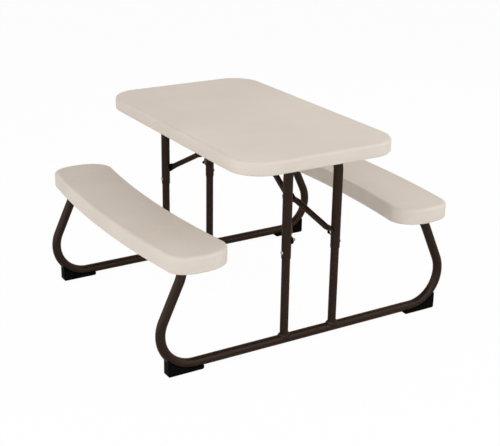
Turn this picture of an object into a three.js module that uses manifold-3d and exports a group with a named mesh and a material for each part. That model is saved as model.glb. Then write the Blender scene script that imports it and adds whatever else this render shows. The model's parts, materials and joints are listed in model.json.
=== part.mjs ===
// Small folding picnic table with two attached benches.
// Two bent steel floor frames carry the benches and four short leg stubs. The tabletop
// stands on the stubs with two leg hoops, which fold flat under it on a knee brace each.
// X runs across the benches, Y along the tabletop, Z up. Origin: middle of the floor area.
import * as THREE from 'three';
import { mergeVertices } from 'three/addons/utils/BufferGeometryUtils.js';
import Module from 'manifold-3d';

const wasm = await Module();
wasm.setup();

// Driving dimensions in millimetres, angles in degrees.
const CLEARANCE = 0.3;

const TOP_LENGTH = 804;
const TOP_WIDTH = 476;
const TOP_HEIGHT = 537;
const TOP_EDGE = 36.5;
const TOP_PANEL = 22;
const TOP_RIM = 12;
const TOP_CORNER = 88;
const TOP_ROLL = 9;

const BENCH_OVERHANG = 62;
const BENCH_OUTSET = 3;
const BENCH_WIDTH = 168.5;
const BENCH_HEIGHT = 331;
const BENCH_EDGE = 44;
const BENCH_PANEL = 18;
const BENCH_RIM = 12;
const BENCH_ROLL = 9;
const BENCH_BOW = 2650;
const BENCH_END = 66;
const OUTER_END_FULLNESS = 0.72;
const INNER_END_FULLNESS = 0.58;

const MOULDED_WALL = 3;
const BLOW_HOLE = 8;
const BLOW_HOLE_OFFSET = 33;

const TUBE = 25.4;
const TUBE_WALL = 1.2;
const FRAME_WIDTH = 902;
const FLOOR_LIFT = 6.6;
const FLOOR_BEND = 92;
const POST_SLANT = 25;
const BENCH_BEND = 60;
const BENCH_RUN = 190;

const LEG_INSET = 63.5;
const LEG_SPACING = 153;
const STUB = 22.2;
const SLEEVE_MOUTH = 247.5;
const SLEEVE_GAP = 0.8;
const HOOP_BEND = 38;

const FOOT_SETBACK = 28;
const FOOT_LENGTH = 101.5;
const FOOT_DEPTH = 26;
const FOOT_SEAT = 9;
const FOOT_CORNER = 5;

const BOLT = 6;
const BOLT_HEAD = 12;
const BOLT_HEAD_HEIGHT = 3;
const NUT = 11.5;
const NUT_HEIGHT = 5;
const NUT_SIDES = 6;
const BOLT_TAIL = 4;
const SLEEVE_BOLT_GRIP = 6;
const SLEEVE_BOLT_RISE = 17.5;
const ARM_BOLT_RISE = 47.5;

const BRACE = 16;
const BRACE_WALL = 1.2;
const TAB = 3;
const TAB_WIDTH = 21;
const TAB_FLAT = 10;
const TAB_PRESS = 12;
const STEM_EYE = 18;
const STEM_EYE_WIDTH = 20;
const BRACE_PIN = 8;
const PIN_HEAD = 13;
const PIN_HEAD_HEIGHT = 3;
const STEM_PIN_SPACING = 28;

const STRAP = 2;
const STRAP_WIDTH = 20;
const STRAP_FLANGE = 15;
const STRAP_SETBACK = 3.5;
const BRACKET_SHEET = 2.5;
const BRACKET_LENGTH = 70;
const BRACKET_WIDTH = 66;
const BRACKET_SCREW_SPACING = 48;

const SCREW = 5;
const SCREW_HEAD = 10;
const SCREW_HEAD_HEIGHT = 3;
const SCREW_GRIP = 8;
const BENCH_SCREW_INSET = 22;
const BENCH_SCREW_SPACING = 90;

// How finely round forms are faceted.
const TUBE_SIDES = 12;
const SMALL_SIDES = 8;
const BEND_STEP = 22.5;
const CORNER_STEPS = 3;
const CURVE_STEPS = 6;
const ROLL_STEPS = 3;

// A cut runs past the face that it opens, and points closer than this are one point.
const OVERCUT = 1;
const SAME_POINT = 1e-4;

// Heights and places that follow from the driving dimensions.
const frameY = TOP_LENGTH / 2 - LEG_INSET;
const legX = LEG_SPACING / 2;
const legFace = legX - TUBE / 2 - CLEARANCE;
const floorZ = FLOOR_LIFT + TUBE / 2;
const topUnderside = TOP_HEIGHT - TOP_PANEL;
const benchUnderside = BENCH_HEIGHT - BENCH_PANEL;
const pivotZ = topUnderside - CLEARANCE - TUBE / 2;
const runZ = benchUnderside - CLEARANCE - TUBE / 2;
const sleeveBoltZ = SLEEVE_MOUTH + SLEEVE_BOLT_RISE;
const armBoltZ = SLEEVE_MOUTH + ARM_BOLT_RISE;
const slant = THREE.MathUtils.degToRad(POST_SLANT);
const bendX = FRAME_WIDTH / 2 - TUBE / 2 - FLOOR_BEND;
const cornerX = bendX + FLOOR_BEND * Math.tan((Math.PI / 2 + slant) / 2);
const runX = cornerX - (runZ - floorZ) * Math.tan(slant);

// The brace is straight when the legs stand, and both its parts lie flat when they fold.
const pinY = STEM_PIN_SPACING / 2;
const legToPin = frameY - pinY;
const pivotToBolt = pivotZ - armBoltZ;
const braceReach = Math.hypot(legToPin, pivotToBolt);
const stemLength = (braceReach + legToPin - pivotToBolt) / 2;
const armLength = braceReach - stemLength;
const braceSlope = Math.atan2(pivotToBolt, legToPin);

const finishes = {
  almond: { color: 0xd6cbbe, roughness: 0.5, metalness: 0 },
  bronze: { color: 0x2c2420, roughness: 0.4, metalness: 0.3 },
  black: { color: 0x151515, roughness: 0.55, metalness: 0 },
  zinc: { color: 0xb9bcc0, roughness: 0.35, metalness: 1 },
};

const ends = [
  { name: 'near', y: -1 },
  { name: 'far', y: 1 },
];
const sides = [
  { name: 'left', x: -1 },
  { name: 'right', x: 1 },
];

// A closed mesh as a solid that can be joined and cut, and back.
function solid(geometry) {
  const bare = geometry.clone();
  bare.deleteAttribute('normal');
  bare.deleteAttribute('uv');
  const merged = mergeVertices(bare, SAME_POINT);
  const mesh = new wasm.Mesh({
    numProp: 3,
    vertProperties: new Float32Array(merged.attributes.position.array),
    triVerts: new Uint32Array(merged.index.array),
  });
  return new wasm.Manifold(mesh);
}

function surface(body) {
  const mesh = body.getMesh();
  const geometry = new THREE.BufferGeometry();
  geometry.setAttribute('position', new THREE.BufferAttribute(mesh.vertProperties, 3));
  geometry.setIndex(new THREE.BufferAttribute(mesh.triVerts, 1));
  geometry.computeVertexNormals();
  return geometry;
}

const table = new THREE.Group();

function add(name, body, finish) {
  const mesh = new THREE.Mesh(surface(body), new THREE.MeshStandardMaterial(finishes[finish]));
  mesh.name = name;
  table.add(mesh);
}

// A round bar along X, Y or Z between two values on that axis, through a point.
function bar(axis, diameter, from, to, at, facets = SMALL_SIDES) {
  const radius = diameter / 2;
  const geometry = new THREE.CylinderGeometry(radius, radius, Math.abs(to - from), facets);
  if (axis === 'x') geometry.rotateZ(-Math.PI / 2);
  if (axis === 'z') geometry.rotateX(Math.PI / 2);
  const centre = new THREE.Vector3(...at);
  centre[axis] = (from + to) / 2;
  geometry.translate(centre.x, centre.y, centre.z);
  return solid(geometry);
}

// A hole for such a bar: its flats stay clear of the bar however far that turns.
function bore(axis, diameter, from, to, at) {
  const flats = diameter + 2 * CLEARANCE;
  return bar(axis, flats / Math.cos(Math.PI / SMALL_SIDES), from, to, at);
}

function box(low, high) {
  const [x, y, z] = [0, 1, 2].map((i) => high[i] - low[i]);
  const geometry = new THREE.BoxGeometry(x, y, z);
  geometry.translate(low[0] + x / 2, low[1] + y / 2, low[2] + z / 2);
  return solid(geometry);
}

// A flat plate: an outline of (y, z) points, extruded along X from one value to another.
function plateX(outline, from, to) {
  const geometry = new THREE.ExtrudeGeometry(outline, { depth: to - from, bevelEnabled: false });
  geometry.rotateY(Math.PI / 2);
  geometry.rotateX(Math.PI / 2);
  geometry.translate(from, 0, 0);
  return solid(geometry);
}

// A skin through rings that follow each other along Y, closed by its first and last ring.
function loft(rings) {
  const count = rings[0].length;
  const last = (rings.length - 1) * count;
  const faces = [];
  for (let start = 0; start < last; start += count) {
    for (let i = 0; i < count; i += 1) {
      const a = start + i;
      const b = start + ((i + 1) % count);
      faces.push(a, b, b + count, a, b + count, a + count);
    }
  }
  for (let i = 1; i + 1 < count; i += 1) {
    faces.push(0, i + 1, i, last, last + i, last + i + 1);
  }
  const geometry = new THREE.BufferGeometry().setFromPoints(rings.flat());
  geometry.setIndex(faces);
  return solid(geometry);
}

// The centre line of a bent tube: straight runs between corner points, rounded at each bend.
class BentLine extends THREE.Curve {
  constructor(corners, radii) {
    super();
    const last = corners.length - 1;
    this.stations = [];
    this.station(corners[0], corners[1].clone().sub(corners[0]).normalize());
    for (let i = 1; i < last; i += 1) {
      const before = corners[i].clone().sub(corners[i - 1]).normalize();
      const after = corners[i + 1].clone().sub(corners[i]).normalize();
      this.bend(corners[i], before, after, radii[i - 1]);
    }
    this.station(corners[last], corners[last].clone().sub(corners[last - 1]).normalize());
  }

  station(point, tangent) {
    this.stations.push({ point, tangent });
  }

  bend(corner, before, after, radius) {
    const turn = before.angleTo(after);
    const start = corner.clone().addScaledVector(before, -radius * Math.tan(turn / 2));
    const side = after.clone().addScaledVector(before, -after.dot(before)).normalize();
    const steps = Math.ceil(THREE.MathUtils.radToDeg(turn) / BEND_STEP);
    for (let i = 0; i <= steps; i += 1) {
      const angle = (turn * i) / steps;
      const point = start.clone().addScaledVector(before, radius * Math.sin(angle));
      point.addScaledVector(side, radius * (1 - Math.cos(angle)));
      const tangent = before.clone().multiplyScalar(Math.cos(angle));
      this.station(point, tangent.addScaledVector(side, Math.sin(angle)));
    }
  }

  at(u) {
    return this.stations[Math.round(u * (this.stations.length - 1))];
  }

  getPointAt(u, target = new THREE.Vector3()) {
    return target.copy(this.at(u).point);
  }

  getTangentAt(u, target = new THREE.Vector3()) {
    return target.copy(this.at(u).tangent);
  }
}

function circle(diameter, facets) {
  return new THREE.EllipseCurve(0, 0, diameter / 2, diameter / 2).getPoints(facets).slice(0, -1);
}

// A round tube along a bent line. With no wall it is a full rod, used to cut seats.
function tube(line, diameter, wall) {
  const section = new THREE.Shape(circle(diameter, TUBE_SIDES));
  if (wall) section.holes.push(new THREE.Path(circle(diameter - 2 * wall, TUBE_SIDES)));
  const steps = line.stations.length - 1;
  return solid(new THREE.ExtrudeGeometry(section, { steps, extrudePath: line }));
}

function straight(from, to) {
  return new BentLine([from, to], []);
}

function distinct(points) {
  return points.filter((p, i) => p.distanceTo(points[(i + 1) % points.length]) > SAME_POINT);
}

// A blow-moulded board: rolled edges above, a skirt round a recess below, and a hollow
// double-walled panel with the small hole that the moulding needle leaves.
function mouldedBoard({ outline, topZ, edge, panel, rim, roll, blowHole }) {
  const slab = (inset, low, high, rounded) => {
    const bevel = rounded ? roll : 0;
    const geometry = new THREE.ExtrudeGeometry(outline(inset), {
      depth: high - low - 2 * bevel,
      bevelEnabled: rounded,
      bevelThickness: bevel,
      bevelSize: bevel,
      bevelOffset: -bevel,
      bevelSegments: ROLL_STEPS,
    });
    geometry.translate(0, 0, low + bevel);
    return solid(geometry);
  };
  const bottom = topZ - edge;
  const underside = topZ - panel;
  const outer = slab(0, bottom - 2 * roll, topZ, true);
  const below = slab(-2 * roll, bottom - 4 * roll, bottom, false);
  const recess = slab(rim, bottom - roll, underside, false);
  const hollow = slab(rim, underside + MOULDED_WALL, topZ - MOULDED_WALL, false);
  const vent = bar('z', BLOW_HOLE, underside - OVERCUT, underside + MOULDED_WALL + OVERCUT, blowHole);
  return outer.subtract(below).subtract(recess).subtract(hollow).subtract(vent);
}

function tabletopOutline(inset) {
  const x = TOP_WIDTH / 2 - inset;
  const y = TOP_LENGTH / 2 - inset;
  const r = TOP_CORNER - inset;
  const shape = new THREE.Shape();
  shape.absarc(x - r, y - r, r, 0, Math.PI / 2);
  shape.absarc(r - x, y - r, r, Math.PI / 2, Math.PI);
  shape.absarc(r - x, r - y, r, Math.PI, 1.5 * Math.PI);
  shape.absarc(x - r, r - y, r, 1.5 * Math.PI, 2 * Math.PI);
  return new THREE.Shape(distinct(shape.getPoints(CORNER_STEPS)));
}

// The bench bows outward along its length: two arcs about one centre, with full round ends.
function benchOutline(side, inset) {
  const halfLength = frameY + BENCH_OVERHANG;
  const centreX = runX + BENCH_OUTSET - BENCH_BOW;
  const outerR = BENCH_BOW + BENCH_WIDTH / 2 - inset;
  const innerR = BENCH_BOW - BENCH_WIDTH / 2 + inset;
  const tipY = halfLength - inset;
  const shoulderY = halfLength - BENCH_END;
  const arcX = (radius) => centreX + Math.sqrt(radius ** 2 - shoulderY ** 2);
  const tipX = (arcX(outerR) + arcX(innerR)) / 2;
  const sweep = (radius) => Math.asin(shoulderY / radius);
  const round = (shape, edge, fullness, end, outward) => {
    const shoulder = [edge, end * shoulderY];
    const bulge = [edge, end * (shoulderY + fullness * (tipY - shoulderY))];
    const reach = [tipX + fullness * (edge - tipX), end * tipY];
    const tip = [tipX, end * tipY];
    if (outward) shape.bezierCurveTo(...reach, ...bulge, ...shoulder);
    else shape.bezierCurveTo(...bulge, ...reach, ...tip);
  };
  const shape = new THREE.Shape();
  shape.absarc(centreX, 0, outerR, -sweep(outerR), sweep(outerR));
  round(shape, arcX(outerR), OUTER_END_FULLNESS, 1, false);
  round(shape, arcX(innerR), INNER_END_FULLNESS, 1, true);
  shape.absarc(centreX, 0, innerR, sweep(innerR), -sweep(innerR), true);
  round(shape, arcX(innerR), INNER_END_FULLNESS, -1, false);
  round(shape, arcX(outerR), OUTER_END_FULLNESS, -1, true);
  const points = distinct(shape.getPoints(CURVE_STEPS));
  const placed = points.map((p) => new THREE.Vector2(side * p.x, p.y));
  return new THREE.Shape(side > 0 ? placed : placed.reverse());
}

// A self-tapping screw driven upward: its head lies under the seat at seatZ.
function screwBody(x, y, seatZ, tipZ) {
  const headLow = seatZ - CLEARANCE - SCREW_HEAD_HEIGHT;
  const head = bar('z', SCREW_HEAD, headLow, seatZ - CLEARANCE, [x, y, 0]);
  return head.add(bar('z', SCREW, headLow + OVERCUT, tipZ, [x, y, 0]));
}

function screwHole(x, y, lowZ, tipZ) {
  return bore('z', SCREW, lowZ - OVERCUT, tipZ + CLEARANCE, [x, y, 0]);
}

function floorLine(end) {
  const y = end * frameY;
  const runEnd = y - end * BENCH_RUN;
  const right = [
    new THREE.Vector3(cornerX, y, floorZ),
    new THREE.Vector3(runX, y, runZ),
    new THREE.Vector3(runX, runEnd, runZ),
  ];
  const left = right.map((p) => new THREE.Vector3(-p.x, p.y, p.z)).reverse();
  return new BentLine([...left, ...right], [BENCH_BEND, FLOOR_BEND, FLOOR_BEND, BENCH_BEND]);
}

function benchScrewPlaces(end) {
  const first = end * (frameY - BENCH_RUN + BENCH_SCREW_INSET);
  return [first, first + end * BENCH_SCREW_SPACING];
}

// The foot fills the corner under the floor bend and wraps the lower part of the tube.
function footBody(side, y) {
  const outer = FRAME_WIDTH / 2 - FOOT_SETBACK;
  const inner = outer - FOOT_LENGTH;
  const radius = FLOOR_BEND + FOOT_SEAT;
  const rise = Math.acos((outer - bendX) / radius);
  const round = FOOT_CORNER;
  const shape = new THREE.Shape();
  shape.absarc(inner + round, round, round, Math.PI, 1.5 * Math.PI);
  shape.absarc(outer - round, round, round, -Math.PI / 2, 0);
  shape.absarc(bendX, floorZ + FLOOR_BEND, radius, -rise, -Math.PI / 2, true);
  shape.lineTo(inner, floorZ - FOOT_SEAT);
  const points = distinct(shape.getPoints(CORNER_STEPS));
  const outline = new THREE.Shape(points.map((p) => new THREE.Vector2(side * p.x, p.y)));
  const geometry = new THREE.ExtrudeGeometry(outline, { depth: FOOT_DEPTH, bevelEnabled: false });
  geometry.rotateX(Math.PI / 2);
  geometry.translate(0, y + FOOT_DEPTH / 2, 0);
  return solid(geometry);
}

// Floor frames: one bent tube each, drilled under the benches, with two leg stubs and two feet.
for (const end of ends) {
  const y = end.y * frameY;
  const line = floorLine(end.y);
  let floorTube = tube(line, TUBE, TUBE_WALL);
  for (const side of sides) {
    for (const screwY of benchScrewPlaces(end.y)) {
      const hole = screwHole(side.x * runX, screwY, runZ - TUBE / 2, benchUnderside);
      floorTube = floorTube.subtract(hole);
    }
  }
  add(`${end.name}_floor_tube`, floorTube, 'bronze');

  const seat = tube(line, TUBE + 2 * CLEARANCE, 0);
  for (const side of sides) {
    const label = `${end.name}_${side.name}`;
    const low = new THREE.Vector3(side.x * legX, y, floorZ);
    const high = new THREE.Vector3(side.x * legX, y, SLEEVE_MOUTH - SLEEVE_GAP);
    const stub = tube(straight(low, high), STUB, TUBE_WALL);
    add(`${label}_leg_stub`, stub.subtract(seat), 'bronze');
    add(`${label}_foot`, footBody(side.x, y).subtract(seat), 'black');
  }
}

// Benches, each held by four screws that come up through the tube runs under it.
for (const side of sides) {
  const x = side.x * runX;
  const screwTip = benchUnderside + SCREW_GRIP;
  let bench = mouldedBoard({
    outline: (inset) => benchOutline(side.x, inset),
    topZ: BENCH_HEIGHT,
    edge: BENCH_EDGE,
    panel: BENCH_PANEL,
    rim: BENCH_RIM,
    roll: BENCH_ROLL,
    blowHole: [x, 0, 0],
  });
  for (const end of ends) {
    for (const [i, y] of benchScrewPlaces(end.y).entries()) {
      bench = bench.subtract(screwHole(x, y, benchUnderside, screwTip));
      const screw = screwBody(x, y, runZ - TUBE / 2, screwTip);
      add(`${end.name}_${side.name}_bench_screw_${i + 1}`, screw, 'zinc');
    }
  }
  add(`${side.name}_bench`, bench, 'almond');
}

// Tabletop, drilled below for the strap and bracket screws.
const topScrewTip = topUnderside + SCREW_GRIP;

let tabletop = mouldedBoard({
  outline: tabletopOutline,
  topZ: TOP_HEIGHT,
  edge: TOP_EDGE,
  panel: TOP_PANEL,
  rim: TOP_RIM,
  roll: TOP_ROLL,
  blowHole: [BRACKET_WIDTH / 2 + BLOW_HOLE_OFFSET, 0, 0],
});

// Straps that hold a leg hoop's crossbar against the tabletop, with two screws each. The flats
// of a strap's faceted round stay clear of the crossbar as that turns.
const strapX = legX - HOOP_BEND - STRAP_SETBACK - STRAP_WIDTH / 2;
const strapFacet = Math.PI / (2 * CORNER_STEPS);
const strapInner = (TUBE / 2 + CLEARANCE) / Math.cos(strapFacet / 2);
const strapOuter = strapInner + STRAP;
const strapLow = topUnderside - CLEARANCE - STRAP;

function strapBody(x, y) {
  const flange = strapOuter + STRAP_FLANGE;
  const high = topUnderside - CLEARANCE;
  const shape = new THREE.Shape();
  shape.moveTo(flange, strapLow);
  shape.lineTo(flange, high);
  shape.lineTo(strapInner, high);
  shape.absarc(0, pivotZ, strapInner, 0, -Math.PI, true);
  shape.lineTo(-strapInner, high);
  shape.lineTo(-flange, high);
  shape.lineTo(-flange, strapLow);
  shape.lineTo(-strapOuter, strapLow);
  shape.absarc(0, pivotZ, strapOuter, -Math.PI, 0);
  shape.lineTo(strapOuter, strapLow);
  const outline = new THREE.Shape(distinct(shape.getPoints(CORNER_STEPS)));
  return plateX(outline, x - STRAP_WIDTH / 2, x + STRAP_WIDTH / 2).translate([0, y, 0]);
}

for (const end of ends) {
  const y = end.y * frameY;
  for (const side of sides) {
    const x = side.x * strapX;
    const label = `${end.name}_${side.name}`;
    let strap = strapBody(x, y);
    for (const [name, step] of [['outer', end.y], ['inner', -end.y]]) {
      const screwY = y + step * (strapOuter + STRAP_FLANGE / 2);
      strap = strap.subtract(screwHole(x, screwY, strapLow, topUnderside));
      tabletop = tabletop.subtract(screwHole(x, screwY, topUnderside, topScrewTip));
      add(`${label}_strap_screw_${name}`, screwBody(x, screwY, strapLow, topScrewTip), 'zinc');
    }
    add(`${label}_pivot_strap`, strap, 'bronze');
  }
}

// Centre bracket: a bent sheet with two cheeks that hold both stem pins.
const bracketLow = topUnderside - CLEARANCE - BRACKET_SHEET;
const cheekInner = STEM_EYE_WIDTH / 2 + CLEARANCE;
const cheekOuter = cheekInner + BRACKET_SHEET;

function cheekOutline() {
  const radius = STEM_EYE / 2;
  const high = bracketLow + BRACKET_SHEET / 2;
  const shape = new THREE.Shape();
  shape.moveTo(pinY + radius, high);
  shape.lineTo(-pinY - radius, high);
  shape.absarc(-pinY, pivotZ, radius, Math.PI, 1.5 * Math.PI);
  shape.absarc(pinY, pivotZ, radius, 1.5 * Math.PI, 2 * Math.PI);
  return new THREE.Shape(distinct(shape.getPoints(CORNER_STEPS)));
}

let bracket = box(
  [-BRACKET_WIDTH / 2, -BRACKET_LENGTH / 2, bracketLow],
  [BRACKET_WIDTH / 2, BRACKET_LENGTH / 2, topUnderside - CLEARANCE],
);
const cheek = plateX(cheekOutline(), cheekInner, cheekOuter);
for (const side of sides) {
  bracket = bracket.add(side.x > 0 ? cheek : cheek.mirror([1, 0, 0]));
  const x = (side.x * BRACKET_SCREW_SPACING) / 2;
  bracket = bracket.subtract(screwHole(x, 0, bracketLow, topUnderside));
  tabletop = tabletop.subtract(screwHole(x, 0, topUnderside, topScrewTip));
  add(`${side.name}_bracket_screw`, screwBody(x, 0, bracketLow, topScrewTip), 'zinc');
}
for (const end of ends) {
  const at = [0, end.y * pinY, pivotZ];
  const reach = cheekOuter + CLEARANCE;
  bracket = bracket.subtract(bore('x', BRACE_PIN, -reach, reach, at));
  const pin = bar('x', BRACE_PIN, -reach - OVERCUT, reach + OVERCUT, at)
    .add(bar('x', PIN_HEAD, reach, reach + PIN_HEAD_HEIGHT, at))
    .add(bar('x', PIN_HEAD, -reach - PIN_HEAD_HEIGHT, -reach, at));
  add(`${end.name}_stem_pin`, pin, 'zinc');
}
add('center_bracket', bracket, 'bronze');
add('tabletop', tabletop, 'almond');

// The sleeve bolt taps into the outer wall of a leg, with only its head outside.
function sleeveBolt(side, at) {
  const seat = legX + TUBE / 2 + CLEARANCE;
  return bar('x', BOLT_HEAD, side * seat, side * (seat + BOLT_HEAD_HEIGHT), at)
    .add(bar('x', BOLT, side * (seat - SLEEVE_BOLT_GRIP), side * (seat + OVERCUT), at));
}

// The arm bolt's head sits inside the leg, its nut and tail on the inner face of the arm's tab.
function armBolt(side, at) {
  const hollow = (TUBE / 2 - TUBE_WALL) * Math.cos(Math.PI / TUBE_SIDES) - CLEARANCE;
  const seat = legX - Math.sqrt(hollow ** 2 - (BOLT_HEAD / 2) ** 2);
  const nutFace = legFace - TAB - CLEARANCE;
  const tail = nutFace - NUT_HEIGHT - BOLT_TAIL;
  return bar('x', BOLT_HEAD, side * seat, side * (seat + BOLT_HEAD_HEIGHT), at)
    .add(bar('x', NUT, side * (nutFace - NUT_HEIGHT), side * nutFace, at, NUT_SIDES))
    .add(bar('x', BOLT, side * tail, side * (seat + OVERCUT), at));
}

// One arm of the knee brace: a tube along Y, pressed flat round the bolt and round the knee
// rivet. Each flat lies against what it is bolted to, so the tube between them leans.
const armReach = armLength - TAB_FLAT - TAB_PRESS;
const armLean = Math.atan2(legFace - cheekInner - BRACE, armReach - TAB_FLAT - TAB_PRESS);
const armDepth = BRACE / Math.cos(armLean);

function armRing(x, y, flat, wall) {
  const width = THREE.MathUtils.lerp(BRACE, TAB_WIDTH, flat) / 2 - wall;
  const depth = THREE.MathUtils.lerp(armDepth, TAB, flat) / 2 - wall;
  const squareness = THREE.MathUtils.lerp(1, 1 / 3, flat);
  const spread = (value) => Math.sign(value) * Math.abs(value) ** squareness;
  return circle(2, TUBE_SIDES).map(
    (p) => new THREE.Vector3(x + depth * spread(p.y), y, width * spread(p.x)),
  );
}

function armBody(side, end) {
  const legTab = legFace - TAB / 2;
  const kneeTab = cheekInner + TAB / 2;
  const stations = [
    [legTab, -TAB_WIDTH / 2, 1],
    [legTab, TAB_FLAT, 1],
    [legFace - armDepth / 2, TAB_FLAT + TAB_PRESS, 0],
    [cheekInner + armDepth / 2, armReach, 0],
    [kneeTab, armLength - TAB_FLAT, 1],
    [kneeTab, armLength + TAB_WIDTH / 2, 1],
  ];
  const skin = (wall) => loft(stations.map(([x, y, flat]) => armRing(x, y, flat, wall)));
  const rounded = new THREE.Shape();
  rounded.absarc(0, 0, TAB_WIDTH / 2, Math.PI / 2, 1.5 * Math.PI);
  rounded.absarc(armLength, 0, TAB_WIDTH / 2, -Math.PI / 2, Math.PI / 2);
  const outline = new THREE.Shape(distinct(rounded.getPoints(CORNER_STEPS)));
  let arm = skin(0).subtract(skin(BRACE_WALL)).intersect(plateX(outline, 0, legX));
  arm = arm.subtract(bore('x', BOLT, legFace - TAB - OVERCUT, legFace + OVERCUT, [0, 0, 0]));
  const rivetHole = [0, armLength, 0];
  arm = arm.subtract(bore('x', BRACE_PIN, cheekInner - OVERCUT, cheekInner + TAB + OVERCUT, rivetHole));
  if (side < 0) arm = arm.mirror([1, 0, 0]);
  arm = arm.rotate([THREE.MathUtils.radToDeg(braceSlope), 0, 0]);
  if (end > 0) arm = arm.mirror([0, 1, 0]);
  return arm.translate([0, end * frameY, armBoltZ]);
}

// The rivet that holds one arm against the stem's eye.
function rivetBody(side, at) {
  const seat = cheekInner + TAB + CLEARANCE;
  return bar('x', PIN_HEAD, side * seat, side * (seat + PIN_HEAD_HEIGHT), at)
    .add(bar('x', BRACE_PIN, side * cheekInner, side * (seat + OVERCUT), at));
}

// The stem of the knee brace: a tube with a cross eye at each end.
function stemBody(pivot, knee) {
  const line = straight(pivot, knee);
  const half = STEM_EYE_WIDTH / 2;
  let stem = tube(line, BRACE, 0);
  for (const eye of [pivot, knee]) {
    stem = stem.add(bar('x', STEM_EYE, -half, half, eye.toArray(), TUBE_SIDES));
  }
  stem = stem.subtract(tube(line, BRACE - 2 * BRACE_WALL, 0));
  for (const eye of [pivot, knee]) {
    stem = stem.subtract(bore('x', BRACE_PIN, -half - OVERCUT, half + OVERCUT, eye.toArray()));
  }
  return stem;
}

// Leg hoops with their bolts, and the parts of each knee brace.
for (const end of ends) {
  const y = end.y * frameY;
  const kneeY = end.y * (frameY - armLength * Math.cos(braceSlope));
  const kneeZ = armBoltZ + armLength * Math.sin(braceSlope);
  const pivot = new THREE.Vector3(0, end.y * pinY, pivotZ);
  const knee = new THREE.Vector3(0, kneeY, kneeZ);
  const corners = [[-legX, SLEEVE_MOUTH], [-legX, pivotZ], [legX, pivotZ], [legX, SLEEVE_MOUTH]];
  const points = corners.map(([x, z]) => new THREE.Vector3(x, y, z));
  let hoop = tube(new BentLine(points, [HOOP_BEND, HOOP_BEND]), TUBE, TUBE_WALL);

  for (const side of sides) {
    const label = `${end.name}_${side.name}`;
    const sleeveAt = [0, y, sleeveBoltZ];
    const armAt = [0, y, armBoltZ];
    const outside = side.x * (legX + TUBE / 2 + OVERCUT);
    hoop = hoop.subtract(bore('x', BOLT, side.x * legX, outside, sleeveAt));
    hoop = hoop.subtract(bore('x', BOLT, side.x * (legFace - OVERCUT), side.x * legX, armAt));
    add(`${label}_sleeve_bolt`, sleeveBolt(side.x, sleeveAt), 'zinc');
    add(`${label}_arm_bolt`, armBolt(side.x, armAt), 'zinc');
    add(`${label}_brace_arm`, armBody(side.x, end.y), 'bronze');
    add(`${label}_knee_rivet`, rivetBody(side.x, knee.toArray()), 'zinc');
  }
  add(`${end.name}_leg_hoop`, hoop, 'bronze');
  add(`${end.name}_brace_stem`, stemBody(pivot, knee), 'bronze');
  const eyeHalf = STEM_EYE_WIDTH / 2;
  add(`${end.name}_knee_pin`, bar('x', BRACE_PIN, -eyeHalf, eyeHalf, knee.toArray()), 'zinc');
}

export default table;
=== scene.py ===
import json
import math
from functools import partial

import bmesh
import bpy
from mathutils import Matrix, Vector
from mathutils.geometry import interpolate_bezier


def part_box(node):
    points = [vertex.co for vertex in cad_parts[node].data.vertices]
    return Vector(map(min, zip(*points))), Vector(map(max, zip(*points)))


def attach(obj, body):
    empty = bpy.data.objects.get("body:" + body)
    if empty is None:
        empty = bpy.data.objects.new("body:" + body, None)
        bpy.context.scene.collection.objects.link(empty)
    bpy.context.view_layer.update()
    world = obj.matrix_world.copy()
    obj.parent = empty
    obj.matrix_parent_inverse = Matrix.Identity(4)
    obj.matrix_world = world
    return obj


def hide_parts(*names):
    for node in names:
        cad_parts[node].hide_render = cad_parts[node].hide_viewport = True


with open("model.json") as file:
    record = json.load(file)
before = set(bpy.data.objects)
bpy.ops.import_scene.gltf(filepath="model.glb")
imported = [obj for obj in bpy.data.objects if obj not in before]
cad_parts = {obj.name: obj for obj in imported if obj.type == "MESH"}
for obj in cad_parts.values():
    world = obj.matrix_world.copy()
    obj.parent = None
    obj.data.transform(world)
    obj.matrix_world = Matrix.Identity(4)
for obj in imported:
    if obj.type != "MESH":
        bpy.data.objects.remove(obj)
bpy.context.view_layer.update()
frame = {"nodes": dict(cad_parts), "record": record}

# Floor tubes. Each end of the table stands on one steel tube, cold bent into a floor run, two
# large bends, two slanted posts and a short run under each bench. It is powder coated in a dark
# bronze brown, with the fine orange peel and the tiny flakes of a metallic coat.
TUBE = 0.0254
TUBE_WALL = 0.0012
TUBE_SIDES = 40
FLOOR_BEND = 0.092
POST_SLANT = math.radians(24.8)  # 25 in the solids, whose bends are faceted
BENCH_BEND = 0.060
BEND_STEP = math.radians(4)
SHARP_ANGLE = math.radians(35)
COAT_BROWN = (0.0236, 0.0154, 0.0121)
COAT_FLAKE = (0.0530, 0.0346, 0.0272)
COAT_FLAKE_SCALE = 2600
COAT_FLAKE_RANGE = (0.45, 0.80)
COAT_FLAKE_RISE = 0.2
COAT_PEEL_SCALE = 420
COAT_PEEL_DEPTH = 0.00008
COAT_PATCH_SCALE = 14
COAT_ROUGHNESS = 0.34
COAT_ROUGHNESS_SPREAD = 0.16
COAT_METALLIC = 0.85
COAT_IOR = 1.3
COAT_SPECULAR = 0.30
COAT_TINT = (1.0, 0.74, 0.60, 1)

bodies = frame["record"]["behaviour"]["bodies"]
carrier = {node: body for body, nodes in bodies.items() for node in nodes}


def middle(node):
    """The middle of a CAD node's box."""
    low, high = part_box(node)
    return (low + high) / 2


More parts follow.
